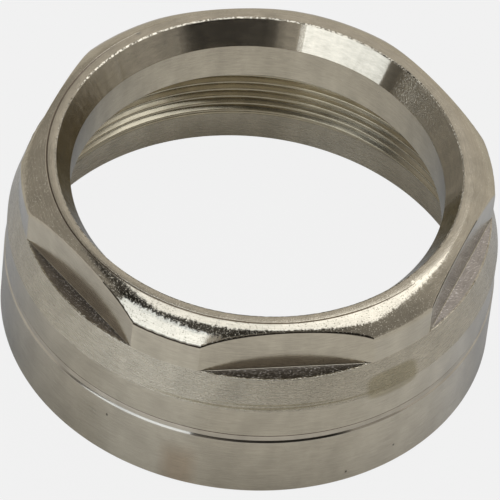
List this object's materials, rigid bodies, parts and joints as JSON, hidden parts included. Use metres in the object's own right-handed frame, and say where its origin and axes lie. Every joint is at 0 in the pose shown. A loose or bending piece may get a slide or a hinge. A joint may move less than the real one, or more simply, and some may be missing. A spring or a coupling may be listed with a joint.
{
  "type": "cartridge retaining nut",
  "caption": "Turned ring nut with an inner fine thread, a plain skirt, a tapered shoulder and wrench flats under a rounded crown; clamps a ceramic mixer cartridge by its shoulder.",
  "frame": {"origin": "centre of the bottom face, on the turning axis", "axes": "+Z along the turning axis towards the flats and the crown; +X square to one of the flats"},
  "size_m": [0.0472, 0.0472, 0.02],
  "materials": {
    "satin_plating": "satin nickel plating over turned brass, with fine turning marks"
  },
  "bodies": {
    "root": {"nut": "satin_plating"}
  },
  "joints": []
}
